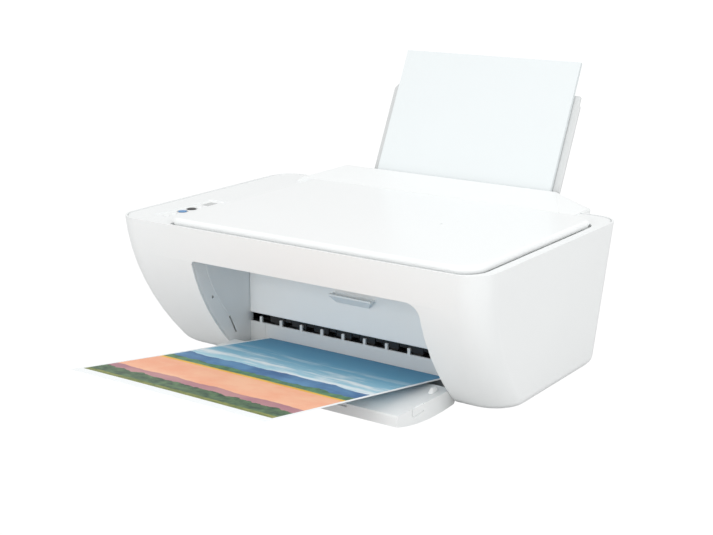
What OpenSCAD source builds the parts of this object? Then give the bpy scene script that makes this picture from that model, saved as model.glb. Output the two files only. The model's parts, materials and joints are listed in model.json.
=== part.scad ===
// All-in-one inkjet printer: scanner on top, paper in at the back, prints out at the front.
// X runs to the printer's right, Y to its back and Z up from the table.

/* [Body] */
// Width of the casing across the rim
body_w = 425; // [400:1:520]
// Depth of the casing across the rim
rim_d = 279; // [270:1:340]
// Height of the rim above the table
rim_h = 150; // [142:1:180]
// Radius of the rim's corners, seen from above
rim_r = 25.5; // [18:0.5:32]
// How far the corner radius grows over two thirds of the height
corner_grow = 4; // [0:1:12]
// How far the front face has swept back two thirds of the way down
face_sweep = 34; // [24:1:38]
// How far each side closes in over two thirds of the height
side_taper = 8; // [0:0.5:10]
// How far the back closes in over two thirds of the height
back_taper = 5; // [0:0.5:10]
// Radius where the walls turn under
sill_r = 9; // [6:1:12]
// Casing wall
wall = 2.2; // [1.6:0.1:3]
// Half width of the housing for the paper feed at the back
bulge_x = 170; // [150:1:185]
// How far that housing stands out behind the rim
bulge_d = 25; // [22:1:40]
// Height of the rubber feet below the chassis
foot_h = 2; // [1:0.5:4]

/* [Paper] */
// Width of a sheet
sheet_w = 215.9; // [182:0.1:216]
// Length of a sheet
sheet_l = 279.4; // [250:0.1:300]
// Middle of the paper path, to the right of the printer's middle
path_x = 16; // [10:1:22]
// Lean of the paper stack from upright
lean = 25.4; // [18:0.1:30]
// Thickness of the paper stack
stack_t = 4; // [1:0.5:5]
// Distance of the stack's top edge behind the middle of the rim
stack_y = 215.4; // [205:0.1:225]
// Height of the stack's top edge above the rim
stack_rise = 141.7; // [130:0.1:150]
// Thickness of the printed sheet
sheet_t = 0.4; // [0.2:0.1:0.6]
// Upward slope of the printed sheet
sheet_tilt = 9.1; // [7:0.1:11]
// Height of the printed sheet's rear edge above the table
sheet_rear_z = 18.3; // [17:0.1:20]

/* [Output] */
// Width of the opening at the front
mouth_w = 262; // [250:1:290]
// Depth of the opening's top edge below the rim
mouth_drop = 34; // [30:1:44]
// Radius of the opening's top left corner
mouth_r_left = 5; // [3:1:12]
// Radius of the opening's top right corner
mouth_r_right = 14; // [5:1:20]
// Distance of the cartridge door in front of the middle of the rim
door_y = 46; // [44:1:50]
// Height of the door's lower edge above the table
door_low = 42; // [41:1:46]
// Height of the roller shafts above the chassis floor
feed_rise = 24.5; // [22:0.5:25]
// Door thickness
door_t = 2.6; // [2:0.1:3.2]
// Length of the output tray from its hinge to its lip
tray_l = 94; // [84:1:100]
// Angle that the output tray drops through as it opens
tray_swing = 51; // [50:1:55]
// Travel of the tray extender
extender_travel = 70; // [40:1:75]

/* [Scanner] */
// Height of the lid's top above the rim
lid_rise = 6; // [5:0.5:9]
// Distance of the lid's left edge to the left of the middle
lid_left = 142; // [138:1:146]
// Distance of the lid's right edge to the right of the middle
lid_right = 200; // [190:1:203]
// Distance of the lid's front edge in front of the middle of the rim
lid_front = 134.5; // [128:0.5:135]
// Distance of the lid's rear edge behind the middle of the rim
lid_back = 104; // [98:1:110]
// Height of the rear hood above the rim
hood_rise = 15; // [12:1:22]
// Length of the scanner glass
glass_l = 304; // [298:1:312]
// Width of the scanner glass
glass_w = 222; // [218:1:228]

/* [Fits] */
// Clearance between pieces that slide or swing past each other
gap = 0.5; // [0.3:0.1:0.8]
// Clearance round a shaft in its bearing
fit = 0.06; // [0.03:0.01:0.1]
// Travel of a push button
press = 0.8; // [0.5:0.1:1.2]

/* [Hidden] */

eps = 0.01;
floor_t = 2.5;
floor_z = foot_h + floor_t;
// The paper stack, its tray and their channel lie parallel, measured across the lean
stack_foot_y = stack_y - sheet_l * sin(lean);
stack_foot_z = rim_h + stack_rise - sheet_l * cos(lean);
tray_off = stack_t + 1;
tray_plate = 3;
channel_front = 2.5;
channel_back = tray_off + tray_plate + 2;
in_tray_w = sheet_w + 16;
in_tray_l = 155;
in_tray_low = (rim_h + 110 - stack_foot_z) / cos(lean) - in_tray_l;
in_tray_corner = 9;
// The printed sheet lies on the output tray
sheet_rear_y = -door_y - gap;
// The whole printer stands with the middle of its footprint at the origin
front_most = sheet_rear_y - sheet_l * cos(sheet_tilt);
rear_most = stack_foot_y + sheet_l * sin(lean) + stack_t * cos(lean);
shift_y = -(front_most + rear_most) / 2;
// Front opening
mouth_left = path_x - 1 - mouth_w / 2;
mouth_right = mouth_left + mouth_w;
mouth_top = rim_h - mouth_drop;
liner_t = 2;
rib_proud = gap * 0.6; // the ribs stay inside the door's side clearance
liner_back = -door_y + 5;
door_axis_y = -door_y + door_t / 2;
door_axis_z = door_low + door_t / 2;
door_pin_r = 1;
pull_x = path_x;
pull_z = rim_h - 69;
exit_top = floor_z + feed_rise + 4;
// Output tray hinge
hinge_z = foot_h + 7.5;
hinge_in = 7.8; // distance of the tray's hinge behind the front face
hinge_y = -rim_d / 2 + face_sweep * pow(drop(hinge_z), 2) + hinge_in;
hinge_r = 2.2;
tray_stand = 0.86; // rise of the shut tray for each unit of its length
tray_shut_top = hinge_z + tray_l * tray_stand;
tray_side = 3;
extender_w = 150;
extender_hold = 14; // length that stays in the tray when it is drawn out
extender_l = extender_travel + extender_hold;
extender_t = 2.4;
// Drive train, in the plane left of the paper path
shaft_r = 3;
car_y = -30;
gear_m = 0.8;
feed_teeth = 40;
idler_teeth = 18;
pinion_teeth = 12;
feed_y = 10;
feed_z = floor_z + feed_rise;
feed_r = 6;
mesh_step = gear_m * (feed_teeth + idler_teeth) / 2;
out_y = feed_y - 2 * mesh_step;
out_z = feed_z;
out_r = 5.5;
pinion_step = gear_m * (feed_teeth + pinion_teeth) / 2;
pinion_angle = 0;
pinion_y = feed_y + pinion_step * cos(pinion_angle);
pinion_z = feed_z + pinion_step * sin(pinion_angle);
gear_t = 5;
frame_t = 3;
// Leftmost place of the carriage: its right-hand cartridge reaches the page's left edge
car_w = 84;
nozzle_x = 20;
car_left = path_x - sheet_w / 2 - nozzle_x;
car_x = mouth_right - 2;
frame_left = car_left - car_w / 2 - frame_t - 2;
gear_x = frame_left - gear_t - 1.5;
motor_l = 34;
motor_r = 13;
pinion_shaft_r = 1;
frame_right = car_x + car_w / 2 + 1.5;
frame_front = out_y - shaft_r - 3;
frame_back = 104;
frame_top = 98;
post_h = 70;
screw_r = 1.5;
screw_l = 56; // ends below the pickup roller's shaft
screw_x = body_w / 2 - 38;
screw_front = car_y - 12;
screw_back = rim_d / 2 - 43.5;
star_r = 4.2;
pinch_r = 4;
holder_x = in_tray_w / 2 + 4 + gap + 5;
pickup_r = 14;
pickup_up = 26;
pickup_y = stack_foot_y + pickup_up * sin(lean) - (pickup_r + gap) * cos(lean);
pickup_z = stack_foot_z + pickup_up * cos(lean) + (pickup_r + gap) * sin(lean);
// Carriage
car_d = 56;
car_z = feed_z + feed_r + 3;
rail_y = 34;
rail_z = car_z + 16;
rail_r = 4;
belt_z = rail_z + 38;
belt_y = 62;
pulley_r = 6;
pulley_x0 = frame_left + frame_t + 10;
pulley_x1 = frame_right - 18;
// Scanner
frame_face = rim_h - 0.6;
frame_low = rim_h - 9;
frame_rim = 3;
pan_low = rim_h - 28;
glass_top = rim_h - 4.5;
glass_t = 3;
glass_x = (lid_right - lid_left) / 2;
glass_y = (lid_back - lid_front) / 2;
pan_x0 = glass_x - glass_l / 2 - 8;
pan_x1 = glass_x + glass_l / 2 + 8;
pan_y0 = glass_y - glass_w / 2 - 4;
pan_y1 = glass_y + glass_w / 2 + 4;
lid_low = rim_h - 2;
lid_axis_r = (lid_rise + 2) / 2;
lid_axis_y = lid_back - lid_axis_r;
lid_axis_z = rim_h + lid_rise - lid_axis_r;
lid_pin_r = 1.6;
knuckle_r = 2.2;
knuckle_top = lid_axis_z - rim_h + knuckle_r;
lid_pocket = 4;
hinge_w = 16;
back_x0 = glass_x - glass_l / 2 + 1;
back_x1 = glass_x + glass_l / 2 - 1;
back_y0 = glass_y - glass_w / 2 + 1;
back_y1 = lid_axis_y - lid_axis_r - 8;
hood_x = 168;
rod_r = 3;
rod_z = pan_low + 7;
bar_top = frame_low - gap;
scan_x = glass_x - glass_l / 2 + 14;
socket_x = 142;
socket_z = 30;
rear_panel_x = bulge_x - 17;
panel_low = foot_h + wall + sill_r + 3;
// Control panel
panel_x = -166;
panel_y = -70;
panel_w = 36;
panel_l = 88;
panel_top = rim_h - 1.8;
button_r = 4.4;
button_x = panel_x - 7;

// Share of the way down to two thirds of the rim's height, so the walls keep their shape when it changes
function drop(z) = (rim_h - z) / (rim_h * 2 / 3);
function face_y(z) = -rim_d / 2 + face_sweep * pow(drop(z), 2);
function side_x(z) = body_w / 2 - side_taper * drop(z);
function back_y(z) = rim_d / 2 - back_taper * drop(z);
function corner_r(z) = rim_r + corner_grow * drop(z);
function bulge_y(z) = rim_d / 2 + bulge_d - back_taper * drop(z);
// Corner points of a rounded rectangle from its two x and two y limits and four radii
function round_box(x0, x1, y0, y1, r) = [
    for (c = [[x1, y0, -1, 1, r[0], -90], [x1, y1, -1, -1, r[1], 0],
              [x0, y1, 1, -1, r[2], 90], [x0, y0, 1, 1, r[3], 180]])
        for (a = [0 : 11.25 : 90])
            [c[0] + c[2] * c[4] + c[4] * cos(c[5] + a), c[1] + c[3] * c[4] + c[4] * sin(c[5] + a)]];

module placed() {
    translate([0, shift_y, 0]) children();
}

module slab(z0, z1, outline) {
    translate([0, 0, z0]) linear_extrude(z1 - z0) polygon(outline);
}

module box(x0, x1, y0, y1, z0, z1) {
    translate([x0, y0, z0]) cube([x1 - x0, y1 - y0, z1 - z0]);
}

// Cylinder along X
module bar(x0, x1, y, z, r) {
    translate([x0, y, z]) rotate([0, 90, 0]) cylinder(h = x1 - x0, r = r, $fn = 48);
}

// Frame whose z runs up the leaning stack, whose y runs through it and whose origin is its foot
module leaning() {
    translate([path_x, stack_foot_y, stack_foot_z]) rotate([-lean, 0, 0]) children();
}

// Sweeps an outline given in Y and Z along X
module across(x0, x1, outline) {
    translate([x0, 0, 0]) rotate([90, 0, 90]) linear_extrude(x1 - x0) polygon(outline);
}

// Smooth body, drawn as a stack of outlines; inset moves every wall inward
module body_form(inset, top, low) {
    hull() {
        for (k = [0 : 8]) {
            z = top - k * (top - low - sill_r) / 8;
            body_layer(z, inset, 0);
        }
        for (a = [15 : 15 : 90])
            body_layer(low + sill_r * (1 - sin(a)), inset, sill_r * (1 - cos(a)));
    }
}

function body_outline(z, inset, tuck) =
    let (r = max(4, corner_r(z) - inset), w = side_x(z) - inset - tuck)
        round_box(-w, w, face_y(z) + inset + tuck, back_y(z) - inset - tuck, [r, r, r, r]);

module body_layer(z, inset, tuck) {
    slab(z - eps, z, body_outline(z, inset, tuck));
}

module bulge_form(inset, top, low) {
    hull() {
        bulge_layer(top, inset, 0);
        for (a = [0 : 30 : 90])
            bulge_layer(low + sill_r * (1 - sin(a)), inset, sill_r * (1 - cos(a)));
    }
}

function bulge_outline(z, inset, tuck) = let (w = bulge_x - inset - tuck)
    round_box(-w, w, 60, bulge_y(z) - inset - tuck, [2, 12, 12, 2]);

module bulge_layer(z, inset, tuck) {
    slab(z - eps, z, bulge_outline(z, inset, tuck));
}

module mouth_cut(grow) {
    translate([0, -rim_d / 2 - 20, 0]) rotate([-90, 0, 0]) mirror([0, 1, 0])
        linear_extrude(rim_d / 2 + 20 - door_y)
            polygon(round_box(mouth_left - grow, mouth_right + grow, -20, mouth_top + grow,
                [1, mouth_r_right + grow, mouth_r_left + grow, 1]));
}

module channel_cut(low) {
    leaning() translate([-in_tray_w / 2 - 2, -channel_front, low])
        cube([in_tray_w + 4, channel_front + channel_back, 400]);
}

// Opening that the scanner frame, pan and hood drop into, and the underside that the chassis fills
module outer_casing() {
    color("whitesmoke") placed() difference() {
        union() {
            body_form(0, rim_h, foot_h);
            bulge_form(0, rim_h, foot_h);
        }
        union() {
            body_form(wall, rim_h + eps, foot_h + wall);
            bulge_form(wall, rim_h + eps, foot_h + wall);
        }
        slab(-1, foot_h + wall + 1, body_outline(foot_h, wall, sill_r));
        slab(-1, foot_h + wall + 1, bulge_outline(foot_h, wall, sill_r));
        mouth_cut(0);
        rear_window();
    }
}

module foot_places() {
    for (x = [-1, 1]) for (y = [-28, 92]) translate([x * 160, y, 0]) children();
}

module screw_places() {
    for (x = [-1, 1]) for (y = [screw_front, screw_back]) translate([x * screw_x, y, 0]) children();
}

// Moulded tray that carries everything, with its side frames
module base_chassis() {
    color("gainsboro") placed() difference() {
        union() {
            slab(foot_h, floor_z, body_outline(foot_h, wall + gap, sill_r));
            slab(foot_h, floor_z, bulge_outline(foot_h, wall + gap, sill_r));
            box(frame_left, frame_left + frame_t, frame_front, frame_back, floor_z, frame_top);
            box(frame_right, frame_right + frame_t, frame_front, frame_back, floor_z, frame_top);
            screw_places() cylinder(h = post_h, r = 6, $fn = 40);
            bar(gear_x - 1, frame_left, feed_y - mesh_step, feed_z, 2);
        }
        box(mouth_left - liner_t - gap, mouth_right + liner_t + gap, -rim_d, hinge_y + 8, 0, 60);
        screw_places() {
            cylinder(h = post_h - 3, r = screw_r, $fn = 32);
            cylinder(h = foot_h + 1.5, r = 4, $fn = 32);
        }
        foot_places() cylinder(h = foot_h + 1, r = 8, $fn = 48);
        bar(-body_w / 2, body_w / 2, feed_y, feed_z, shaft_r + fit);
        bar(-body_w / 2, body_w / 2, out_y, out_z, shaft_r + fit);
        bar(-body_w / 2, body_w / 2, pickup_y, pickup_z, shaft_r + fit);
        bar(gear_x, frame_left + frame_t + 1, pinion_y, pinion_z, pinion_shaft_r + 0.6);
    }
}

module rubber_feet() {
    color("dimgray") placed() foot_places() {
        cylinder(h = foot_h, r1 = 7, r2 = 7.6, $fn = 48);
        translate([0, 0, foot_h]) cylinder(h = 1, r = 8, $fn = 48);
    }
}

module case_screws() {
    color("silver") placed() screw_places() {
        translate([0, 0, foot_h + 0.3]) cylinder(h = 1.2, r = 3.6, $fn = 32);
        translate([0, 0, foot_h + 1.5]) cylinder(h = screw_l, r = screw_r, $fn = 32);
    }
}

// Sloping cover between the lid and the paper slot
module rear_hood() {
    color("whitesmoke") placed() difference() {
        hood_form(0);
        hood_form(wall);
        channel_cut(0);
        box(-body_w, body_w, rim_d / 2 - wall - gap, rim_d, rim_h - 5, rim_h);
    }
}

module hood_form(inset) {
    y0 = lid_back + gap + inset;
    y1 = rim_d / 2 + bulge_d - 1 - inset;
    crest = stack_foot_y + (rim_h - stack_foot_z + hood_rise) * tan(lean) - 4;
    low = frame_face - inset;
    hull() {
        slab(low, low + eps, round_box(-hood_x + inset, hood_x - inset, y0, y1, [1, 12, 12, 1]));
        slab(rim_h, rim_h + 1, round_box(-hood_x + inset, hood_x - inset, y0, y1, [1, 12, 12, 1]));
        box(-hood_x + 8 + inset, hood_x - 8 - inset, y0, y0 + 1, low, rim_h + lid_rise - 1 - inset);
        box(-hood_x + 10 + inset, hood_x - 10 - inset, y0 + 1.5, y0 + 2.5, low, rim_h + lid_rise - inset);
        box(-hood_x + 36 + inset, hood_x - 36 - inset, crest - 2, crest, low, rim_h + hood_rise - inset);
    }
}

function lid_outline(i, back) =
    round_box(-lid_left + i, lid_right - i, -lid_front + i, back, [25, 18, 5, 8]);

// Top frame that holds the glass and the control panel
module scanner_frame() {
    color("gainsboro") placed() difference() {
        union() {
            slab(frame_low, frame_face - frame_rim, body_outline(frame_low, wall + gap, 0));
            slab(frame_face - frame_rim, frame_face, body_outline(frame_face - frame_rim, wall + gap, 0));
        }
        slab(glass_top, rim_h, lid_outline(-2.2, lid_back + gap));
        box(glass_x - glass_l / 2, glass_x + glass_l / 2, glass_y - glass_w / 2,
            glass_y + glass_w / 2, glass_top - glass_t, rim_h);
        box(glass_x - glass_l / 2 + 5, glass_x + glass_l / 2 - 5, glass_y - glass_w / 2 + 5,
            glass_y + glass_w / 2 - 5, frame_low - 1, rim_h);
        slab(frame_low - 1, rim_h, panel_outline(0));
        channel_cut(0);
        hinge_places() box(-hinge_w / 2, hinge_w / 2, -4, 4, frame_low - rim_h - 1, 0);
    }
}

module scanner_glass() {
    color("lightcyan", 0.4) placed()
        box(glass_x - glass_l / 2, glass_x + glass_l / 2, glass_y - glass_w / 2,
            glass_y + glass_w / 2, glass_top - glass_t, glass_top);
}

// Tub under the glass in which the scan bar travels
module scanner_pan() {
    color("lightgray") placed() difference() {
        box(pan_x0, pan_x1, pan_y0, pan_y1, pan_low, frame_low);
        box(pan_x0 + 2, pan_x1 - 2, pan_y0 + 2, pan_y1 - 2, pan_low + 2, frame_low + 1);
        bar(pan_x0 - 1, pan_x1 + 1, glass_y, rod_z, rod_r);
    }
}

module scan_rod() {
    color("silver") placed() bar(pan_x0, pan_x1, glass_y, rod_z, rod_r);
}

module scan_bar() {
    color("dimgray") placed() difference() {
        union() {
            box(scan_x - 9, scan_x + 9, pan_y0 + 5, pan_y1 - 5, rod_z + 3, bar_top);
            box(scan_x - 9, scan_x + 9, glass_y - 14, glass_y + 14, pan_low + 2.6, bar_top);
        }
        bar(scan_x - 10, scan_x + 10, glass_y, rod_z, rod_r + fit);
        box(scan_x - 3, scan_x + 3, pan_y0 + 9, pan_y1 - 9, bar_top - 1.2, bar_top + 1);
    }
}

module scan_lens() {
    color("lightcyan", 0.5) placed()
        box(scan_x - 3, scan_x + 3, pan_y0 + 9, pan_y1 - 9, bar_top - 1.2, bar_top);
}

module scan_motor() {
    color("silver") placed() {
        bar(scan_x - 8, scan_x + 8, pan_y1 - 16, pan_low + 6.4, 3.5);
        box(scan_x - 9, scan_x - 8, pan_y1 - 22, pan_y1 - 10, pan_low + 3, rod_z + 3);
    }
}

// Places of the two lid hinges, at the height of the rim
module hinge_places() {
    for (x = [-lid_left + 60, lid_right - 60]) translate([x, lid_axis_y, rim_h]) children();
}

module lid_form() {
    r = lid_axis_r;
    hull() {
        for (a = [-90 : 18 : 90]) {
            h = r * sin(a);
            edge = a > 0 ? 2.6 * (1 - cos(a)) : 1.6 * (1 - cos(a));
            slab(lid_axis_z + h - eps, lid_axis_z + h, lid_outline(edge, lid_axis_y + r * cos(a)));
        }
    }
}

module scanner_lid() {
    color("white") placed() difference() {
        lid_form();
        box(back_x0, back_x1, back_y0, back_y1, lid_low - 1, lid_low + lid_pocket);
        hinge_places() {
            box(-hinge_w / 2 - gap, hinge_w / 2 + gap, -lid_axis_r - 2, lid_axis_r + 1, -9,
                knuckle_top + gap);
            translate([0, 0, lid_axis_z - rim_h])
                bar(-hinge_w / 2 - 10, hinge_w / 2 + 10, 0, 0, lid_pin_r + fit);
        }
    }
}

// White sheet and foam that press a page on the glass
module lid_backing() {
    color("white") placed()
        box(back_x0, back_x1, back_y0, back_y1, glass_top + 0.2, lid_low + lid_pocket);
}

module lid_hinges() {
    h = lid_axis_z - rim_h;
    color("lightgray") placed() hinge_places() {
        box(-hinge_w / 2, hinge_w / 2, -knuckle_r, knuckle_r, frame_low - rim_h, h);
        translate([0, 0, h]) bar(-hinge_w / 2, hinge_w / 2, 0, 0, knuckle_r);
        translate([0, 0, h]) bar(-hinge_w / 2 - 9, hinge_w / 2 + 9, 0, 0, lid_pin_r);
    }
}

function panel_outline(i) = round_box(panel_x - panel_w / 2 + i, panel_x + panel_w / 2 - i,
    panel_y - panel_l / 2 + i, panel_y + panel_l / 2 - i, [3, 3, 3, 3]);

// Distance of each button behind the panel's middle, and its radius
buttons = [["power", -36, 3.4], ["cancel", -25, 3], ["colour", -12, button_r],
           ["black", 2, button_r], ["resume", 14, 3]];

module control_panel() {
    color("white") placed() difference() {
        slab(panel_top - 2, panel_top, panel_outline(0));
        for (b = buttons) translate([button_x, panel_y + b[1], panel_top - 3])
            cylinder(h = 4, r = b[2] + gap / 2, $fn = 48);
        display_place() cube([10, 16, 3]);
    }
}

module display_place() {
    translate([button_x - 5, panel_y + 22, panel_top - 1.2]) children();
}

module display_window() {
    color("lightgray") placed() display_place() cube([10, 16, 1.2]);
}

module button_board_form() {
    color("seagreen") placed() {
        slab(frame_low, frame_low + 1.6, panel_outline(1));
        for (b = buttons) translate([button_x, panel_y + b[1], frame_low + 1.6])
            cylinder(h = 0.6, r = 2, $fn = 24);
    }
}

module push_button(k) {
    b = buttons[k];
    low = frame_low + 2.2 + press + 0.1;
    translate([button_x, panel_y + b[1], low])
        cylinder(h = panel_top - low + 0.7, r = b[2], $fn = 48);
}

module power_button() { color("white") placed() push_button(0); }
module cancel_button() { color("white") placed() push_button(1); }
module colour_copy_button() { color("skyblue") placed() push_button(2); }
module black_copy_button() { color("dimgray") placed() push_button(3); }
module resume_button() { color("white") placed() push_button(4); }

// How far a wall has turned under at a height; the inner face turns a wall's thickness higher up
function sill_in(z, lift) = let (h = min(sill_r, max(0, foot_h + lift + sill_r - z)))
    sill_r - sqrt(pow(sill_r, 2) - pow(h, 2));
function face_line(off, z0, z1, lift = 0) =
    [for (k = [0 : 10]) let (z = z0 + k * (z1 - z0) / 10) [face_y(z) + sill_in(z, lift) + off, z]];
// Outline of a strip that follows a list of points, half of its width either side
function ribbon(p, half) = concat(
    [for (k = [0 : len(p) - 1]) p[k] + half * side_dir(p, k)],
    [for (k = [len(p) - 1 : -1 : 0]) p[k] - half * side_dir(p, k)]);
function side_dir(p, k) = let (a = p[max(k - 1, 0)], b = p[min(k + 1, len(p) - 1)],
    d = (b - a) / norm(b - a)) [d[1], -d[0]];

rib_line = [for (t = [0 : 0.1 : 1]) [
    face_y(mouth_top) + 22 + 14 * t + 26 * pow(t, 2), mouth_top - 1 - 72 * t]];

// Side walls and ceiling of the output mouth
module tray_liner() {
    side = concat(face_line(wall + gap, floor_z, mouth_top, wall),
        [[liner_back, mouth_top], [liner_back, floor_z]]);
    color("gainsboro") placed() difference() {
        union() {
            across(mouth_left - liner_t, mouth_left, side);
            across(mouth_right, mouth_right + liner_t, side);
            box(mouth_left - liner_t, mouth_right + liner_t, face_y(mouth_top) + wall + 0.6,
                liner_back, mouth_top, mouth_top + liner_t);
            across(mouth_left, mouth_left + rib_proud, ribbon(rib_line, 1.7));
            across(mouth_right - rib_proud, mouth_right, ribbon(rib_line, 1.7));
        }
        bar(mouth_left - 5, mouth_right + 5, hinge_y, hinge_z, hinge_r + fit);
        bar(mouth_left - 5, mouth_right + 5, door_axis_y, door_axis_z, door_pin_r + fit);
        for (x = [mouth_left - 3, mouth_right - 1]) {
            across(x, x + 4, ribbon([[-79, 46], [-69, 26]], 1.1));
            bar(x, x + 4, -104, 72, 1.6);
        }
    }
}

// Light panel that the sheets drop past, with ribs between the rollers
module exit_guide() {
    color("gainsboro") placed() difference() {
        union() {
            box(mouth_left + 0.2, mouth_right - 0.2, -door_y, -door_y + 2, floor_z, exit_top);
            for (k = [0 : 9]) {
                x = mouth_left + 14 + k * (mouth_w - 28) / 9;
                box(x - 1.5, x + 1.5, -door_y, -door_y + 2.4, exit_top, exit_top + 6);
            }
        }
        box(mouth_left + 20, mouth_left + 21, -door_y - 1, -door_y + 0.6, floor_z, exit_top);
    }
}

module cartridge_door() {
    x0 = mouth_left + gap;
    x1 = mouth_right - gap;
    back = -door_y + door_t;
    color("white") placed() difference() {
        union() {
            box(x0, x1, -door_y, back, door_axis_z, mouth_top - gap);
            bar(x0, x1, door_axis_y, door_axis_z, door_t / 2);
            bar(mouth_left - liner_t, mouth_left + 6, door_axis_y, door_axis_z, door_pin_r);
            bar(mouth_right - 6, mouth_right + liner_t, door_axis_y, door_axis_z, door_pin_r);
            hull() {
                box(pull_x - 25, pull_x + 25, -door_y - 9, -door_y + 1, pull_z - 1.5, pull_z);
                box(pull_x - 19, pull_x + 19, -door_y - 3, -door_y + 1, pull_z - 9, pull_z - 8);
            }
            // Stiffening ribs behind
            for (x = [x0 + 20 : 52 : x1 - 10]) box(x, x + 1.2, back, back + 2, 60, mouth_top - 8);
        }
        hull() {
            box(pull_x - 22.5, pull_x + 22.5, -door_y - 7, -door_y - 0.4, pull_z - 1, pull_z + 1);
            box(pull_x - 18, pull_x + 18, -door_y - 3, -door_y - 0.4, pull_z - 7, pull_z - 6);
        }
    }
}

// The tray is drawn open; shut, its underside lies flush with the front face
function swing_open(p) = let (y = p[0] - hinge_y, z = p[1] - hinge_z)
    [hinge_y + y * cos(tray_swing) - z * sin(tray_swing),
     hinge_z + y * sin(tray_swing) + z * cos(tray_swing)];
tray_low_line = [for (p = face_line(0.3, hinge_z, tray_shut_top)) swing_open(p)];
tray_front = tray_low_line[10];
tray_lip = [tray_front[0] + 2, tray_front[1] + 10];
tray_rear = [hinge_y - 8, hinge_z + 10];
tray_slope = atan((tray_lip[1] - tray_rear[1]) / (tray_rear[0] - tray_lip[0]));
recess_depth = extender_t + gap;
extender_y = tray_lip[0] - tray_rear[0];
// Point below the tray's top plane, at a distance in front of its rear edge
function under_top(y, depth) = [y, tray_rear[1] + (tray_rear[0] - y) * tan(tray_slope) - depth];

module output_tray() {
    x0 = mouth_left + gap;
    x1 = mouth_right - gap;
    top = [[tray_lip[0] - 1, tray_lip[1] - 2], tray_lip, tray_rear, [hinge_y, hinge_z + hinge_r]];
    full = concat([for (k = [0 : 10]) tray_low_line[k]], top);
    color("white") placed() difference() {
        union() {
            across(x0, x1, full);
            bar(mouth_left - liner_t, mouth_right + liner_t, hinge_y, hinge_z, hinge_r);
        }
        // Hollow between the skins
        across(x0 + tray_side, x1 - tray_side, concat(
            [for (k = [2 : 9]) tray_low_line[k] + [0, 2]],
            [under_top(tray_lip[0] + 7, recess_depth + 2), under_top(tray_rear[0] - 5, recess_depth + 2)]));
        on_tray() box(path_x - extender_w / 2 - gap, path_x + extender_w / 2 + gap,
            extender_y - 20, extender_y + extender_l + gap, -recess_depth, 10);
        // Grip in the right-hand side
        across(x1 - 1, x1 + 1, ribbon(grip_line, 0.6));
    }
}

grip_line = [[-122, 13.5], [-138, 12.5], [-141.5, 14], [-141.5, 20], [-138, 21], [-122, 20.5]];

// Frame on the tray's sloping top, with its origin at the rear edge
module on_tray() {
    translate([0, tray_rear[0], tray_rear[1]]) rotate([-tray_slope, 0, 0]) children();
}

module tray_extender() {
    color("white") placed() on_tray() difference() {
        union() {
            box(path_x - extender_w / 2, path_x + extender_w / 2, extender_y,
                extender_y + extender_l, -extender_t, 0);
            box(path_x - 22, path_x + 22, extender_y, extender_y + 4, 0, 1.6);
        }
        box(path_x - 30, path_x + 30, extender_y + 24, extender_y + 40, -1, 1);
    }
}

module input_tray() {
    w = in_tray_w / 2;
    c = in_tray_corner;
    color("white") placed() leaning() translate([0, tray_off, in_tray_low]) {
        rotate([90, 0, 0]) mirror([0, 0, 1]) linear_extrude(tray_plate)
            polygon([[-w, 0], [w, 0], [w, in_tray_l - c - 3], [w - 1.5, in_tray_l - c],
                [w - 1.5, in_tray_l - 1.5], [w - 3, in_tray_l], [-w + c - 2, in_tray_l],
                [-w, in_tray_l - c]]);
        for (x = [-w + 4, -w / 2, 0, w / 2, w - 5])
            translate([x, tray_plate, 0]) cube([1.2, 1.2, in_tray_l - 14]);
    }
}

// Slides across to meet the edge of the paper
module width_guide() {
    edge = -sheet_w / 2 - gap;
    color("lightgray") placed() leaning() {
        box(edge - 2, edge, -1.5, tray_off - gap, 62, 118);
        box(edge - 4, edge, tray_off - gap - 1, tray_off - gap, 62, 112);
    }
}

module paper_stack() {
    color("aliceblue") placed() leaning() translate([-sheet_w / 2, 0, 0])
        cube([sheet_w, stack_t, sheet_l]);
}

module printed_sheet() {
    color("skyblue") placed() translate([path_x, sheet_rear_y, sheet_rear_z])
        rotate([-sheet_tilt, 0, 0]) translate([-sheet_w / 2, -sheet_l, 0])
            cube([sheet_w, sheet_l, sheet_t]);
}

// Bottom and back of the paper channel, and the floor that leads to the feed roller
module paper_chute() {
    w = in_tray_w / 2 + 4;
    floor_end = feed_y + feed_r + 1.5;
    color("gray") placed() {
        leaning() {
            box(-w, w, channel_back, channel_back + 2, -14, 112);
            box(-w, w, -6, tray_off - gap, -3, -0.3);
        }
        across(path_x - w, path_x + w, [[floor_end, feed_z + 2], [floor_end, feed_z],
            [stack_foot_y - 8, stack_foot_z - 7], [stack_foot_y + 4, stack_foot_z - 7],
            [stack_foot_y - 3, stack_foot_z - 1]]);
        for (x = [path_x - w, path_x + w - 2]) box(x, x + 2, floor_end + 8, stack_foot_y,
            floor_z, feed_z + 3);
    }
}

module separation_pad() {
    y = stack_foot_y - 22;
    rise = (stack_foot_z - feed_z - 3) / (stack_foot_y - feed_y - feed_r - 4.5);
    z = feed_z + 2 + rise * (y - feed_y - feed_r - 1.5);
    color("saddlebrown") placed() translate([path_x - 14, y, z]) rotate([atan(rise), 0, 0])
        cube([28, 12, 1.2]);
}

module pickup_roller() {
    color("dimgray") placed() {
        bar(frame_left - 2, frame_right + frame_t + 2, pickup_y, pickup_z, shaft_r);
        bar(path_x - 24, path_x + 24, pickup_y, pickup_z, pickup_r);
    }
}

module feed_shaft() {
    color("darkgray") placed() {
        bar(gear_x - 1, frame_right + frame_t + 2, feed_y, feed_z, shaft_r);
        bar(path_x - sheet_w / 2 - 6, path_x + sheet_w / 2 + 6, feed_y, feed_z, feed_r);
    }
}

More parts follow.
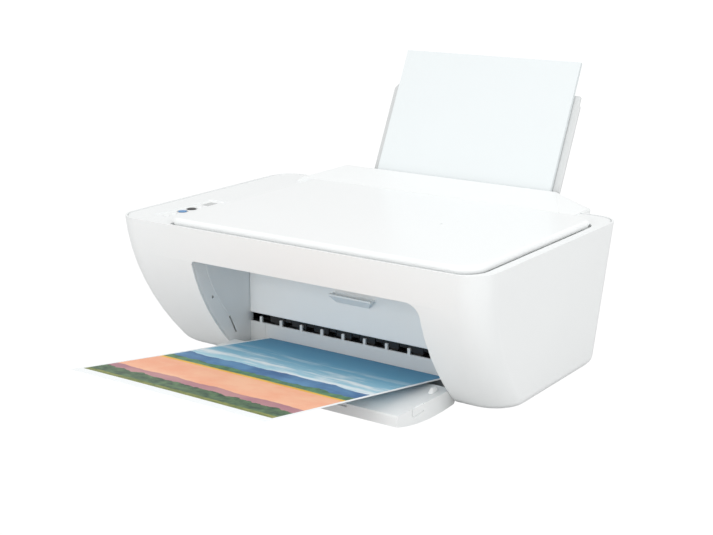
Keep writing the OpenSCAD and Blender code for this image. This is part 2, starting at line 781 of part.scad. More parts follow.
// Spur gear along X; phase turns a tooth to that angle from +Y towards +Z
module spur_gear(teeth, phase, bore) {
    r = gear_m * teeth / 2;
    a = 360 / teeth;
    rotate([90, 0, 90]) linear_extrude(gear_t) difference() {
        polygon([for (k = [0 : teeth - 1]) for (q = [[-0.3, -1.1], [-0.23, 0], [-0.1, 0.85],
            [0.1, 0.85], [0.23, 0], [0.3, -1.1]])
            let (t = phase + a * (k + q[0]), rr = r + gear_m * q[1]) rr * [cos(t), sin(t)]]);
        circle(r = bore, $fn = 48);
    }
}

// Turns a gear so that its teeth fall in the gaps of the one it meshes with
function mesh_phase(teeth, other, other_phase, dir) =
    180 + dir + 180 / teeth + (dir - other_phase) * other / teeth;
idler_phase = mesh_phase(idler_teeth, feed_teeth, 0, 180);

module feed_gear() {
    color("ivory") placed() translate([gear_x, feed_y, feed_z])
        spur_gear(feed_teeth, 0, shaft_r);
}

module idler_gear() {
    color("ivory") placed() translate([gear_x, feed_y - mesh_step, feed_z])
        spur_gear(idler_teeth, idler_phase, 2 + fit);
}

module output_gear() {
    color("ivory") placed() translate([gear_x, out_y, out_z])
        spur_gear(feed_teeth, mesh_phase(feed_teeth, idler_teeth, idler_phase, 180), shaft_r);
}

module motor_pinion() {
    color("goldenrod") placed() {
        translate([gear_x, pinion_y, pinion_z]) spur_gear(pinion_teeth,
            mesh_phase(pinion_teeth, feed_teeth, 0, pinion_angle), pinion_shaft_r - 0.1);
        bar(gear_x, frame_left + frame_t + 6, pinion_y, pinion_z, pinion_shaft_r);
    }
}

module feed_motor() {
    color("silver") placed() difference() {
        bar(frame_left + frame_t, frame_left + frame_t + motor_l, pinion_y, pinion_z, motor_r);
        bar(frame_left, frame_left + frame_t + 7, pinion_y, pinion_z, pinion_shaft_r + fit);
    }
}

module pinch_rollers() {
    z = feed_z + feed_r + pinch_r + 0.1;
    color("dimgray") placed() for (k = [-2 : 2]) {
        bar(path_x + k * 42 - 12, path_x + k * 42 + 12, feed_y, z, pinch_r);
        bar(path_x - 100, path_x + 100, feed_y, z, 1);
    }
}

module pinch_holder() {
    z = feed_z + feed_r + pinch_r + 0.1;
    color("gray") placed() difference() {
        union() {
            box(path_x - holder_x, path_x + holder_x, feed_y + 6, feed_y + 16, z + 1, z + 4);
            for (k = [-2 : 1]) box(path_x + k * 42 + 18, path_x + k * 42 + 24,
                feed_y - 2, feed_y + 7, z - 2.4, z + 4);
            for (x = [path_x - holder_x, path_x + holder_x - 4]) box(x, x + 4, feed_y + 10, feed_y + 14,
                floor_z, z + 2);
        }
        bar(path_x - 130, path_x + 130, feed_y, z, 1 + fit);
        bar(path_x - 130, path_x + 130, feed_y, feed_z, feed_r + 1);
    }
}

// Sets each output wheel at its place along the paper's width
module wheel_places() {
    for (k = [-3.5 : 3.5]) translate([path_x + k * 28, 0, 0]) children();
}

module output_shaft() {
    color("dimgray") placed()
        bar(gear_x - 1, frame_right + frame_t + 2, out_y, out_z, shaft_r);
}

module output_tyres() {
    color("dimgray") placed() wheel_places() difference() {
        bar(-6, 6, out_y, out_z, out_r);
        bar(-7, 7, out_y, out_z, shaft_r);
    }
}

module star_wheels() {
    z = out_z + out_r + star_r + 0.1;
    color("dimgray") placed() {
        wheel_places() for (x = [-4, 2.6])
            translate([x, out_y, z]) rotate([90, 0, 90]) linear_extrude(1.4)
                polygon([for (k = [0 : 47]) (k % 2 == 0 ? star_r : star_r - 0.7)
                    * [cos(k * 7.5), sin(k * 7.5)]]);
        bar(path_x - 112, path_x + 112, out_y, z, 0.8);
    }
}

// Black bar above the output roller, with a cage round each pair of wheels
module star_holder() {
    z = out_z + out_r + star_r + 0.1;
    back = out_y + star_r + 3;
    color("dimgray") placed() difference() {
        union() {
            box(mouth_left + 1, mouth_right - 1, -door_y + door_t + gap, back, z + 5, z + 8);
            wheel_places() {
                box(-9, -6.6, -door_y + door_t + gap, back, z - 3.2, z + 6);
                box(6.6, 9, -door_y + door_t + gap, back, z - 3.2, z + 6);
                box(-9, 9, -door_y + 2.6, -door_y + 4, z - 4, z + 6);
            }
            for (k = [-3 : 3]) box(path_x + k * 28 - 4, path_x + k * 28 + 4,
                -door_y + door_t + gap, -door_y + 6, z - 1, z + 6);
        }
        bar(mouth_left - 1, mouth_right + 1, out_y, z, 0.8 + fit);
        wheel_places() bar(-5.5, 5.5, out_y, z, star_r + gap);
    }
}

module platen() {
    y0 = out_y + out_r + 1.5;
    y1 = feed_y - feed_r - 1;
    top = feed_z + feed_r - 0.6;
    color("dimgray") placed() {
        box(mouth_left + 4, mouth_right + 2, y0, y1, top - 4, top - 2);
        for (x = [mouth_left + 10 : 16 : mouth_right - 4]) box(x, x + 1.6, y0, y1, top - 2, top);
        for (x = [mouth_left + 4, mouth_right]) box(x, x + 2, y0, y1, floor_z, top - 4);
    }
}

module guide_rail() {
    color("silver") placed() bar(frame_left + frame_t, frame_right, rail_y, rail_z, rail_r);
}

module carriage() {
    low = car_z + 9;
    color("dimgray") placed() difference() {
        union() {
            box(car_x - car_w / 2, car_x + car_w / 2, car_y, car_y + car_d, low, low + 26);
            box(car_x - car_w / 2, car_x + car_w / 2, car_y + car_d - 4, car_y + car_d, low, low + 46);
            box(car_x - 30, car_x + 30, car_y + car_d - 1, rail_y + rail_r + 3, low, rail_z + rail_r + 3);
            box(car_x - 8, car_x + 8, car_y + car_d - 1, belt_y - pulley_r - 1.6, belt_z - 3, belt_z + 8);
        }
        for (s = [-1, 1]) {
            box(car_x + s * nozzle_x - 18.6, car_x + s * nozzle_x + 18.6, car_y + 2, car_y + car_d - 4.5,
                low + 2, low + 60);
            box(car_x + s * nozzle_x - 13, car_x + s * nozzle_x + 13, car_y + 3, car_y + 26, low - 1, low + 3);
        }
        bar(car_x - 50, car_x + 50, rail_y, rail_z, rail_r + fit);
    }
}

// Ink cartridge: tank, nozzle snout below and a ridge to push it home
module ink_cartridge(x) {
    low = car_z + 9;
    box(x - 18.2, x + 18.2, car_y + 2.4, car_y + car_d - 5, low + 2, low + 44);
    box(x - 12.6, x + 12.6, car_y + 3.4, car_y + 25.6, car_z, low + 3);
    box(x - 14, x + 14, car_y + 4, car_y + 12, low + 44, low + 48);
}

module black_cartridge() { color("darkslategray") placed() ink_cartridge(car_x + nozzle_x); }
module colour_cartridge() { color("slategray") placed() ink_cartridge(car_x - nozzle_x); }

module loop_outline(r) {
    for (x = [pulley_x0, pulley_x1]) translate([x, belt_y]) circle(r = r, $fn = 64);
    translate([pulley_x0, belt_y - r]) square([pulley_x1 - pulley_x0, 2 * r]);
}

module carriage_belt() {
    color("dimgray") placed() translate([0, 0, belt_z]) linear_extrude(5) difference() {
        loop_outline(pulley_r + 1.1);
        loop_outline(pulley_r + 0.1);
    }
}

module pulley(x) {
    translate([x, belt_y, belt_z]) {
        cylinder(h = 5, r = pulley_r, $fn = 64);
        for (z = [-1.4, 5.2]) translate([0, 0, z]) cylinder(h = 1.2, r = pulley_r + 2, $fn = 64);
        translate([0, 0, -1.4]) cylinder(h = 7.6, r = 3, $fn = 48);
    }
}

module motor_pulley() { color("goldenrod") placed() pulley(pulley_x1); }
module idler_pulley() { color("ivory") placed() pulley(pulley_x0); }

module carriage_motor() {
    color("silver") placed() {
        translate([pulley_x1, belt_y, belt_z - 34]) cylinder(h = 31, r = 13, $fn = 64);
        // Bracket down to the chassis, and the idler's post
        box(pulley_x1 - 6, pulley_x1 + 6, belt_y - 4, belt_y + 4, floor_z, belt_z - 34);
        box(pulley_x0 - 5, pulley_x0 + 5, belt_y - 5, belt_y + 5, floor_z, belt_z - 3);
    }
}

// Cap for the right-hand cartridge where it parks, and the wiper block beside it
module service_station() {
    color("dimgray") placed() {
        box(mouth_right + 5, frame_right - 2, -28, 0, floor_z, car_z - 6);
        for (x = [car_x + nozzle_x - 7, frame_right - 14.5])
            box(x, x + 14, -24, -6, car_z - 6, car_z - 2.5);
    }
}

// Main board beside the drive train, and the small one under the buttons
module circuit_boards() {
    button_board_form();
    x = gear_x - 12;
    color("seagreen") placed() {
        box(x, x + 1.6, -34, 52, floor_z, 84);
        box(x - 2.4, x, -20, 0, 40, 60);
        box(x - 2, x, 12, 24, 34, 46);
        for (z = [14 : 14 : 70]) box(x - 5, x, 34, 46, z, z + 8);
    }
}

module power_module() {
    x = frame_left + frame_t + 2;
    color("darkgray") placed() {
        box(x, x + 36, belt_y + 8, screw_back - 8, floor_z, 48);
        box(x + 8, x + 16, screw_back - 8, screw_back - 7, 20, 30);
    }
}

// Cover let into the back of the housing, with a lip behind its edges
module rear_panel() {
    z0 = panel_low;
    z1 = rim_h - 14;
    color("whitesmoke") placed() difference() {
        union() {
            across(-rear_panel_x, rear_panel_x, back_strip(z0, z1, 0, wall + 0.2));
            across(-rear_panel_x - 3, rear_panel_x + 3, back_strip(z0 - 3, z1 + 3, wall + 0.1, 1.5));
        }
        socket_cuts();
    }
}

// Strip that follows the sloping back, in Y and Z
function back_strip(z0, z1, off, t) = [[bulge_y(z0) - off, z0], [bulge_y(z0) - off - t, z0],
    [bulge_y(z1) - off - t, z1], [bulge_y(z1) - off, z1]];

module rear_window() {
    across(-rear_panel_x - gap, rear_panel_x + gap,
        back_strip(panel_low - gap, rim_h - 14 + gap, -2, wall + 4));
}

module socket_cuts() {
    y = bulge_y(socket_z);
    box(-socket_x - 9, -socket_x + 9, y - 12, y + 12, socket_z - 6, socket_z + 6);
    box(-socket_x + 22, -socket_x + 36, y - 12, y + 12, socket_z - 6, socket_z + 6);
}

// Power inlet and data socket, let into the back of the housing
module rear_sockets() {
    y = bulge_y(socket_z) - 1;
    color("dimgray") placed() difference() {
        union() {
            box(-socket_x - 9 + 0.3, -socket_x + 9 - 0.3, y - 20, y, socket_z - 5.7, socket_z + 5.7);
            box(-socket_x + 22.3, -socket_x + 35.7, y - 20, y, socket_z - 5.7, socket_z + 5.7);
            box(-socket_x - 12, -socket_x + 40, y - 24, y - 20, floor_z, socket_z + 14);
        }
        box(-socket_x - 7, -socket_x + 7, y - 14, y + 1, socket_z - 4, socket_z + 4);
        box(-socket_x + 24, -socket_x + 34, y - 14, y + 1, socket_z - 4, socket_z + 4);
    }
}

base_chassis();
outer_casing();
rear_hood();
rubber_feet();
case_screws();
scanner_frame();
scanner_glass();
scanner_pan();
scan_rod();
scan_bar();
scan_lens();
scan_motor();
scanner_lid();
lid_backing();
lid_hinges();
control_panel();
display_window();
power_button();
cancel_button();
colour_copy_button();
black_copy_button();
resume_button();
tray_liner();
exit_guide();
cartridge_door();
output_tray();
tray_extender();
input_tray();
width_guide();
paper_stack();
printed_sheet();
separation_pad();
pickup_roller();
paper_chute();
feed_shaft();
feed_gear();
pinch_rollers();
pinch_holder();
output_shaft();
output_tyres();
output_gear();
idler_gear();
motor_pinion();
feed_motor();
star_holder();
star_wheels();
platen();
guide_rail();
carriage();
black_cartridge();
colour_cartridge();
carriage_belt();
motor_pulley();
idler_pulley();
carriage_motor();
service_station();
circuit_boards();
power_module();
rear_panel();
rear_sockets();
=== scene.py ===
import json
import math

import bpy
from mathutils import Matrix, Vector


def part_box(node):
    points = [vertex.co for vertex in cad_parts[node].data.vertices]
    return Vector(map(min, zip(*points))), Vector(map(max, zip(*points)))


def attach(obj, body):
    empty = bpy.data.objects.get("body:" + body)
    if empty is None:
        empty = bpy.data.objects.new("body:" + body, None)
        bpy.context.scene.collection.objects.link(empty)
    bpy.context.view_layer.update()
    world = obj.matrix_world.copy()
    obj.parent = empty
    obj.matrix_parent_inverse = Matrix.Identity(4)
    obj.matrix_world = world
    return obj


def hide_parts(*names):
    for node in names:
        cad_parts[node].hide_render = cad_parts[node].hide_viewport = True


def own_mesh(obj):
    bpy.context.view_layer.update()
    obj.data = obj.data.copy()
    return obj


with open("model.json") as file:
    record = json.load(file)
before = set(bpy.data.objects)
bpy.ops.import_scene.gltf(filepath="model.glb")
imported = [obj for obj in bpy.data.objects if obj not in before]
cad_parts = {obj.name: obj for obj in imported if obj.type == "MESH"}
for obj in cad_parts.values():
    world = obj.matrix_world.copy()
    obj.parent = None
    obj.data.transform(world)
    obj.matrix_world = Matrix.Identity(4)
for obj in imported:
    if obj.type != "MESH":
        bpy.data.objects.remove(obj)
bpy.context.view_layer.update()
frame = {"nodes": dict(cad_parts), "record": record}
nodes = frame["nodes"]
slotOf = {part["node"]: part["material_slot"] for part in frame["record"]["subparts"]}
bodyOf = {name: body for body, members in frame["record"]["behaviour"]["bodies"].items()
          for name in members}
print("frame loaded:", len(nodes), "parts")


def ink(red, green, blue):  # screen tones 0 to 255, as linear colour
    parts = [v / 255 for v in (red, green, blue)]
    return tuple(v / 12.92 if v <= 0.04045 else ((v + 0.055) / 1.055) ** 2.4 for v in parts) + (1,)


def mm(*values):
    return Vector([v / 1000 for v in values])


# shader maths


class Flow:  # one socket, used in sums
    def __init__(self, finish, socket):
        self.finish = finish
        self.socket = socket

    def math(self, operation, first, second):
        return self.finish.node("ShaderNodeMath", {"operation": operation}, {0: first, 1: second})

    def __add__(self, other):
        return self.math("ADD", self, other)

    def __radd__(self, other):
        return self.math("ADD", other, self)

    def __sub__(self, other):
        return self.math("SUBTRACT", self, other)

    def __rsub__(self, other):
        return self.math("SUBTRACT", other, self)

    def __mul__(self, other):
        return self.math("MULTIPLY", self, other)

    def __rmul__(self, other):
        return self.math("MULTIPLY", other, self)

    def __gt__(self, other):
        return self.math("GREATER_THAN", self, other)

    def __lt__(self, other):
        return self.math("LESS_THAN", self, other)


class Finish:  # one material and its nodes
    def __init__(self, name, **fixed):
        self.material = bpy.data.materials.new(name)
        self.material.use_nodes = True
        self.tree = self.material.node_tree
        self.shader = self.tree.nodes["Principled BSDF"]
        for socket, value in fixed.items():
            self.shader.inputs[socket.replace("_", " ")].default_value = value

    def node(self, kind, settings=None, values=None, out=0):
        made = self.tree.nodes.new(kind)
        for key, value in (settings or {}).items():
            if key == "stops":
                ramp = made.color_ramp.elements
                while len(ramp) > 1:
                    ramp.remove(ramp[-1])
                ramp[0].position, ramp[0].color = value[0]
                for place, tone in value[1:]:
                    ramp.new(place).color = tone
            else:
                setattr(made, key, value)
        for key, value in (values or {}).items():
            self.feed(made.inputs[key], value)
        return Flow(self, made.outputs[out])

    def feed(self, socket, value):
        if isinstance(value, Flow):
            self.tree.links.new(value.socket, socket)
        else:
            socket.default_value = value

    def place(self, kind="Object"):
        return self.node("ShaderNodeTexCoord", out=kind)

    def stretch(self, scale):
        return self.node("ShaderNodeMapping", values={"Vector": self.place(), "Scale": scale})

    def noise(self, scale, detail=2.0, rough=0.5, vector=None):
        return self.node("ShaderNodeTexNoise", values={
            "Vector": vector or self.place(), "Scale": scale,
            "Detail": detail, "Roughness": rough})

    def ramp(self, value, stops):
        return self.node("ShaderNodeValToRGB", {"stops": stops}, {0: value})

    def mix(self, share, low, high):
        return self.node("ShaderNodeMix", {"data_type": "RGBA"},
                         {0: share, 6: low, 7: high}, out=2)

    def raised(self, height, depth, strength=0.5):
        return self.node("ShaderNodeBump", values={
            "Height": height, "Distance": depth, "Strength": strength})

    def shade(self, **links):
        for socket, value in links.items():
            self.feed(self.shader.inputs[socket.replace("_", " ")], value)
        return self.material


def tint(tone, share):
    return tuple(v * share for v in tone[:3]) + (1,)


def moulded(name, tone, rough, grain, depth, coat=0.0):
    finish = Finish(name, Coat_Roughness=0.25, Specular_IOR_Level=0.45)
    broad = finish.noise(9.0, 3.0)
    fine = finish.noise(grain, 2.0, 0.6)
    flow = finish.noise(60.0, 4.0, 0.65)
    return finish.shade(
        Base_Color=finish.mix(broad, tint(tone, 0.975), tone),
        Roughness=rough - 0.05 + flow * 0.1,
        Coat_Weight=coat * (0.8 + broad * 0.4),
        Normal=finish.raised(fine + flow * 0.3, depth, 0.35))


def turned(name, tone, rough, lines, depth, metal=1.0):
    finish = Finish(name)
    streak = finish.noise(lines, 3.0, 0.6, finish.stretch((0.06, 1, 1)))
    stain = finish.noise(35.0, 4.0)
    return finish.shade(
        Base_Color=finish.mix(stain, tint(tone, 0.86), tone),
        Metallic=metal - stain * 0.04,
        Roughness=rough + streak * 0.16,
        Normal=finish.raised(streak, depth, 0.4))


def rubberFinish():
    finish = Finish("rollerRubber", Specular_IOR_Level=0.3)
    dust = finish.noise(70.0, 5.0, 0.7)
    pores = finish.noise(1400.0, 2.0)
    return finish.shade(
        Base_Color=finish.ramp(dust, [(0.3, ink(38, 38, 39)), (0.75, ink(62, 61, 60))]),
        Roughness=0.7 + dust * 0.2,
        Normal=finish.raised(pores, 0.00008, 0.6))


def glassFinish():
    finish = Finish("scannerGlass", Transmission_Weight=0.85, IOR=1.5)
    smear = finish.noise(24.0, 3.0)
    return finish.shade(
        Base_Color=finish.mix(smear, ink(214, 230, 226), ink(230, 240, 238)),
        Roughness=0.03 + smear * 0.05,
        Normal=finish.raised(smear, 0.00001, 0.1))


def foamFinish():
    finish = Finish("lidFoam", Specular_IOR_Level=0.2)
    cells = finish.node("ShaderNodeTexVoronoi", {}, {"Vector": finish.place(), "Scale": 900.0})
    return finish.shade(
        Base_Color=finish.mix(cells, ink(246, 247, 246), ink(232, 233, 231)),
        Roughness=0.85 + cells * 0.1,
        Normal=finish.raised(1 - cells, 0.0001, 0.5))


def boardFinish():
    finish = Finish("circuitBoard", Coat_Roughness=0.15)
    tracks = finish.node("ShaderNodeTexBrick", {"offset": 0.3}, {
        "Vector": finish.place(), "Scale": 90.0, "Mortar Size": 0.06,
        "Color1": ink(20, 86, 48), "Color2": ink(24, 98, 56), "Mortar": ink(56, 132, 74)})
    dust = finish.noise(120.0, 3.0)
    return finish.shade(
        Base_Color=finish.mix(dust * 0.3, tracks, ink(12, 58, 34)),
        Roughness=0.32 + dust * 0.15,
        Coat_Weight=0.3 + dust * 0.2,
        Normal=finish.raised(dust, 0.00003, 0.3))


def paperFinish(name, tone):
    finish = Finish(name, Specular_IOR_Level=0.25)
    fibre = finish.noise(700.0, 4.0, 0.7)
    cloud = finish.noise(14.0, 2.0)
    return finish.shade(
        Base_Color=finish.mix(cloud, tint(tone, 0.98), tone),
        Roughness=0.78 + fibre * 0.12,
        Normal=finish.raised(fibre, 0.00002, 0.4))


# A plain landscape in bands: sky, hills, a sunlit field, bushes and grass
pictureBands = {"hills": 0.45, "shore": 0.54, "sun": 0.585, "field": 0.603, "heath": 0.80,
                "bushes": 0.85, "grass": 0.925, "margin": 0.952, "side": 0.014}


def pictureFinish():
    finish = Finish("printedPicture", Specular_IOR_Level=0.4, Coat_Roughness=0.3)
    across = finish.node("ShaderNodeSeparateXYZ", values={0: finish.place("UV")})
    along = Flow(finish, across.socket.node.outputs[1])

    def crest(line, wide, tall, seed):  # a hill line that rises and falls across the sheet
        where = finish.node("ShaderNodeCombineXYZ", values={0: across * wide, 1: seed})
        return along > line - tall * finish.noise(1.0, 3.0, 0.55, where) + tall * 0.5

    def mottle(scale, seed):
        where = finish.node("ShaderNodeCombineXYZ", values={
            0: across * scale, 1: along * scale * 1.3, 2: seed})
        return finish.noise(1.0, 4.0, 0.6, where)

    sky = finish.ramp(along, [(0.0, ink(44, 132, 176)), (0.22, ink(96, 172, 206)),
                              (0.42, ink(168, 214, 230)), (0.5, ink(196, 224, 232))])
    bank = finish.node("ShaderNodeCombineXYZ", values={0: across * 3.0, 1: along * 17.0, 2: 4.0})
    cloud = finish.ramp(finish.noise(1.0, 4.0, 0.6, bank),
                        [(0.46, ink(0, 0, 0)), (0.6, ink(255, 255, 255))])
    drift = finish.ramp(along, [(0.16, ink(0, 0, 0)), (0.36, ink(255, 255, 255))])
    cover = finish.mix(drift, ink(0, 0, 0), cloud)
    art = finish.mix(cover, sky, ink(232, 242, 246))
    layers = [("hills", 3.0, 0.16, 2.0, ink(52, 98, 150), ink(92, 142, 184)),
              ("shore", 7.0, 0.10, 5.0, ink(60, 104, 74), ink(96, 142, 98)),
              ("sun", 5.0, 0.012, 7.0, ink(232, 176, 38), ink(246, 196, 66)),
              ("field", 4.0, 0.010, 9.0, ink(244, 170, 134), ink(248, 190, 154)),
              ("heath", 4.0, 0.09, 11.0, ink(172, 118, 130), ink(190, 138, 140)),
              ("bushes", 16.0, 0.07, 13.0, ink(44, 74, 52), ink(92, 122, 84)),
              ("grass", 9.0, 0.02, 15.0, ink(96, 112, 48), ink(142, 146, 74))]
    for name, wide, tall, seed, dark, light in layers:
        patch = finish.ramp(mottle(22.0 if name in ("bushes", "grass", "shore") else 5.0, seed),
                            [(0.38, dark), (0.62, light)])
        art = finish.mix(crest(pictureBands[name], wide, tall, seed), art, patch)
    side = pictureBands["side"]
    blank = finish.node("ShaderNodeMath", {"operation": "MAXIMUM"}, {
        0: along > pictureBands["margin"], 1: (across < side) + (across > 1 - side)})
    fibre = mottle(300.0, 21.0)
    return finish.shade(
        Base_Color=finish.mix(blank, art, ink(244, 247, 248)),
        Roughness=0.5 + fibre * 0.15 + blank * 0.15,
        Coat_Weight=0.15 - blank * 0.1,
        Normal=finish.raised(fibre, 0.00002, 0.2))


finishes = {
    "white_case": moulded("whiteCase", ink(240, 242, 242), 0.42, 1500.0, 0.00004),
    "white_gloss": moulded("whiteLid", ink(243, 245, 245), 0.30, 700.0, 0.00002, 0.25),
    "light_grey": moulded("lightGreyTrim", ink(214, 216, 216), 0.45, 1500.0, 0.00004),
    "mid_grey": moulded("midGreyTub", ink(140, 142, 143), 0.5, 1200.0, 0.00005),
    "black_plastic": moulded("blackWorks", ink(34, 34, 35), 0.42, 1100.0, 0.00005),
    "rubber": rubberFinish(),
    "steel": turned("drawnSteel", ink(188, 189, 192), 0.26, 900.0, 0.00003),
    "chromed": turned("polishedRod", ink(214, 215, 218), 0.07, 600.0, 0.00001),
    "brass": turned("turnedBrass", ink(206, 172, 98), 0.22, 800.0, 0.00003),
    "nylon": moulded("gearNylon", ink(232, 228, 212), 0.38, 900.0, 0.00003, 0.1),
    "glass": glassFinish(),
    "foam": foamFinish(),
    "board": boardFinish(),
    "paper": paperFinish("plainPaper", ink(229, 234, 235)),
    "print": pictureFinish(),
    "blue_plastic": moulded("blueKey", ink(62, 132, 190), 0.3, 800.0, 0.00002, 0.2),
    "display": moulded("displayPane", ink(176, 180, 180), 0.12, 500.0, 0.00001, 0.8),
}
for name, part in nodes.items():
    part.data.materials.clear()
    part.data.materials.append(finishes[slotOf[name]])
print("finishes made:", len(finishes))


# modelling helpers


def pickOnly(piece):
    if bpy.context.object and bpy.context.object.mode != "OBJECT":
        bpy.ops.object.mode_set(mode="OBJECT")
    bpy.ops.object.select_all(action="DESELECT")
    piece.hide_viewport = False
    piece.select_set(True)
    bpy.context.view_layer.objects.active = piece


def applyAll(piece):
    pickOnly(piece)
    for modifier in list(piece.modifiers):
        bpy.ops.object.modifier_apply(modifier=modifier.name)


def softenEdges(piece, width, steps, angle=38):
    bevel = piece.modifiers.new("edges", "BEVEL")
    bevel.width = width / 1000
    bevel.segments = steps
    bevel.limit_method = "ANGLE"
    bevel.angle_limit = math.radians(angle)
    bevel.harden_normals = False
    piece.modifiers.new("normals", "WEIGHTED_NORMAL").keep_sharp = True
    applyAll(piece)


def settle(piece, name, body, slot):  # its place goes into the mesh first
    pickOnly(piece)
    bpy.ops.object.transform_apply(location=True, rotation=True, scale=True)
    piece.name = piece.data.name = name
    piece.data.materials.clear()
    piece.data.materials.append(finishes[slot])
    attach(piece, body)
    return piece


def smooth(piece, angle=32):
    pickOnly(piece)
    bpy.ops.object.shade_smooth_by_angle(angle=math.radians(angle))


# moulded shells: each is a merged copy with rounded edges

shellSizes = {"merge": 0.000004, "flat": 0.8}  # metres and degrees
shellEdges = {  # edge radius in mm and steps
    "outer_casing": (0.9, 3), "rear_hood": (0.8, 3), "scanner_frame": (0.35, 2),
    "scanner_lid": (0.6, 3), "control_panel": (0.3, 2), "tray_liner": (0.5, 2),
    "exit_guide": (0.3, 2), "cartridge_door": (0.5, 2), "output_tray": (0.9, 3),
    "tray_extender": (0.5, 2), "input_tray": (0.5, 2), "base_chassis": (0.4, 2),
    "power_button": (0.35, 3), "cancel_button": (0.35, 3), "colour_copy_button": (0.45, 3),
    "black_copy_button": (0.45, 3), "resume_button": (0.35, 3), "display_window": (0.2, 2),
    "star_holder": (0.2, 1), "carriage": (0.4, 2), "black_cartridge": (0.5, 2),
    "colour_cartridge": (0.5, 2), "width_guide": (0.4, 2), "rear_sockets": (0.3, 2),
    "rear_panel": (0.3, 2),
    "paper_chute": (0.3, 2), "service_station": (0.4, 2), "power_module": (0.5, 2),
}


def shellOf(name, width, steps):
    source = nodes[name]
    piece = bpy.data.objects.new(name + "Shell", source.data.copy())
    bpy.context.scene.collection.objects.link(piece)
    pickOnly(piece)
    bpy.ops.object.mode_set(mode="EDIT")
    bpy.ops.mesh.select_all(action="SELECT")
    bpy.ops.mesh.remove_doubles(threshold=shellSizes["merge"])
    bpy.ops.mesh.dissolve_limited(angle_limit=math.radians(shellSizes["flat"]))
    bpy.ops.object.mode_set(mode="OBJECT")
    smooth(piece)
    softenEdges(piece, width, steps)
    settle(piece, name + "Shell", bodyOf[name], slotOf[name])
    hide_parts(name)
    return piece


for name, (width, steps) in shellEdges.items():
    shellOf(name, width, steps)
print("shells finished:", len(shellEdges))


# the printed page, with a slight crown across it

pageSizes = {"cuts": 40, "crown": 1.2, "thick": 0.25}


def makePage():
    low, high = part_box("printed_sheet")
    wide = high.x - low.x
    deep, tall = high.y - low.y, high.z - low.z
    slope = math.atan2(tall, deep)
    bpy.ops.object.select_all(action="DESELECT")
    bpy.ops.mesh.primitive_grid_add(x_subdivisions=12, y_subdivisions=pageSizes["cuts"], size=1,
                                    calc_uvs=True, location=(0, 0, 0))
    page = bpy.context.object
    page.scale = (wide, math.hypot(deep, tall) - 0.0008, 1)
    bpy.ops.object.transform_apply(location=False, rotation=False, scale=True)
    half = wide / 2
    for corner in page.data.vertices:
        corner.co.z += pageSizes["crown"] / 1000 * (1 - (corner.co.x / half) ** 2) * 0.25
    for loop in page.data.uv_layers.active.data:
        loop.uv = (loop.uv[0], 1 - loop.uv[1])
    page.rotation_euler = (-slope, 0, 0)
    page.location = ((low.x + high.x) / 2, (low.y + high.y) / 2, (low.z + high.z) / 2)
    skin = page.modifiers.new("thickness", "SOLIDIFY")
    skin.thickness = pageSizes["thick"] / 1000
    applyAll(page)
    settle(page, "printedPage", "printed_sheet", "print")
    smooth(page)
    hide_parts("printed_sheet")
    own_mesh(page)


makePage()
print("page printed")


# loose sheets standing in the tray

stackSizes = {"count": 10, "gap": 0.06, "stagger": 0.25, "lean": 25.4}


def makeStack():
    low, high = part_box("paper_stack")
    source = nodes["paper_stack"]
    lean = math.radians(stackSizes["lean"])
    up = Vector((0, math.sin(lean), math.cos(lean)))
    through = Vector((0, math.cos(lean), -math.sin(lean)))
    along = [v.co.dot(up) for v in source.data.vertices]
    depth = [v.co.dot(through) for v in source.data.vertices]
    tall, thick = max(along) - min(along), max(depth) - min(depth)
    each = thick / stackSizes["count"]
    middle = Vector(((low.x + high.x) / 2, 0, 0))
    sheets = []
    for k in range(stackSizes["count"]):
        shift = stackSizes["stagger"] / 1000 * math.sin(k * 2.4)
        centre = middle + up * ((max(along) + min(along)) / 2 - abs(shift)) \
            + through * (min(depth) + each * (k + 0.5))
        bpy.ops.object.select_all(action="DESELECT")
        bpy.ops.mesh.primitive_cube_add(size=1, location=centre, rotation=(-lean, 0, 0))
        sheet = bpy.context.object
        sheet.scale = (high.x - low.x - 2 * abs(shift), each - stackSizes["gap"] / 1000,
                       tall - 2 * abs(shift))
        bpy.ops.object.mode_set(mode="EDIT")
        bpy.ops.mesh.select_all(action="SELECT")
        bpy.ops.mesh.subdivide(number_cuts=3)
        bpy.ops.object.mode_set(mode="OBJECT")
        sheets.append(sheet)
    pickOnly(sheets[0])
    for sheet in sheets:
        sheet.select_set(True)
    bpy.ops.object.join()
    settle(bpy.context.object, "paperSheets", "paper_stack", "paper")
    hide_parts("paper_stack")


makeStack()
print("paper loaded")


# small trim

trimSizes = {"ring": 5.6, "ringWidth": 0.28, "tabWide": 5, "tabTall": 4.5, "tabLong": 11,
             "tabX": 0.136, "tabY": -0.040, "tabLift": 0.0005}


def makeRing(buttonName, pieceName):
    low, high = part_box(buttonName)
    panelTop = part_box("control_panel")[1].z
    bpy.ops.object.select_all(action="DESELECT")
    bpy.ops.mesh.primitive_torus_add(
        major_radius=trimSizes["ring"] / 1000, minor_radius=trimSizes["ringWidth"] / 1000,
        major_segments=64, minor_segments=10,
        location=((low.x + high.x) / 2, (low.y + high.y) / 2, panelTop))
    ring = bpy.context.object
    smooth(ring, 60)
    settle(ring, pieceName, bodyOf["control_panel"], "mid_grey")


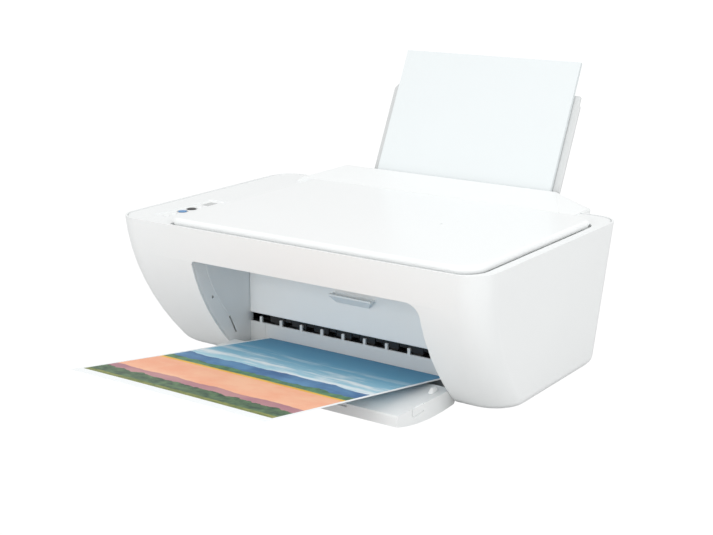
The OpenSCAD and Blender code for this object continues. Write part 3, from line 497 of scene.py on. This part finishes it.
def makeTab(name, x, y, z):  # steadies the edge of a page on the tray
    bpy.ops.object.select_all(action="DESELECT")
    bpy.ops.mesh.primitive_cube_add(size=1, location=(x, y, z))
    tab = bpy.context.object
    tab.scale = mm(trimSizes["tabWide"], trimSizes["tabLong"], trimSizes["tabTall"])
    bpy.ops.object.transform_apply(location=False, rotation=False, scale=True)
    bpy.ops.object.mode_set(mode="EDIT")
    bpy.ops.mesh.select_all(action="DESELECT")
    bpy.ops.object.mode_set(mode="OBJECT")
    for face in tab.data.polygons:
        face.select = face.normal.z > 0.9
    bpy.ops.object.mode_set(mode="EDIT")
    bpy.ops.mesh.select_mode(type="FACE")
    bpy.ops.transform.resize(value=(0.55, 0.6, 1))
    bpy.ops.transform.translate(value=(0, 0.0015, 0))
    bpy.ops.object.mode_set(mode="OBJECT")
    softenEdges(tab, 0.6, 3, 25)
    smooth(tab)
    settle(tab, name, "output_tray", "white_case")


makeRing("colour_copy_button", "colourKeyRing")
makeRing("black_copy_button", "blackKeyRing")
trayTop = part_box("output_tray")[1].z
makeTab("pageTabRight", trimSizes["tabX"], trimSizes["tabY"], trayTop + trimSizes["tabLift"])
print("trim fitted")


# floor, light and camera

stageSizes = {"floor": 6.0, "sky": 1.05, "fill": 0.80}
bpy.ops.object.select_all(action="DESELECT")
bpy.ops.mesh.primitive_plane_add(size=stageSizes["floor"], location=(0, 0, 0))
floor = bpy.context.object
floor.name = "floor"
floor.visible_camera = False  # it only returns light from below
floorFinish = Finish("studioFloor", Roughness=0.9, Specular_IOR_Level=0.0)
floor.data.materials.append(floorFinish.shade(Base_Color=ink(206, 206, 206)))

world = bpy.data.worlds.new("studio")  # plain white behind, a little softer as light
bpy.context.scene.world = world
world.use_nodes = True
tree = world.node_tree
backdrop = tree.nodes["Background"]
backdrop.inputs[0].default_value = (1, 1, 1, 1)
seen = tree.nodes.new("ShaderNodeLightPath")
level = tree.nodes.new("ShaderNodeMapRange")
level.inputs["To Min"].default_value = stageSizes["fill"]
level.inputs["To Max"].default_value = stageSizes["sky"]
tree.links.new(seen.outputs["Is Camera Ray"], level.inputs["Value"])
tree.links.new(level.outputs["Result"], backdrop.inputs[1])

lamps = {  # place, size, watts
    "keyLamp": ((0.0, -2.3, 0.75), 0.9, 15.5),
    "topLamp": ((0.2, 0.1, 2.2), 1.8, 6.0),
    "sideLamp": ((2.0, -0.2, 1.3), 1.2, 14.0),
}
for name, (spot, size, watts) in lamps.items():
    lamp = bpy.data.objects.new(name, bpy.data.lights.new(name, "AREA"))
    lamp.data.size = size
    lamp.data.energy = watts
    lamp.location = spot
    lamp.rotation_euler = (Vector((0, 0, 0.1)) - lamp.location).to_track_quat("-Z", "Y").to_euler()
    bpy.context.scene.collection.objects.link(lamp)

view = {"place": (0.751, -1.0453, 0.454), "pitch": 15.02, "yaw": 34.86, "lens": 68.77}
camera = bpy.data.objects.new("camera", bpy.data.cameras.new("camera"))
camera.data.lens = view["lens"]
camera.data.sensor_width = 36
camera.location = view["place"]
camera.rotation_euler = (math.radians(90 - view["pitch"]), 0, math.radians(view["yaw"]))
bpy.context.scene.collection.objects.link(camera)
bpy.context.scene.camera = camera
bpy.context.scene.view_settings.view_transform = "Standard"
print("stage set")
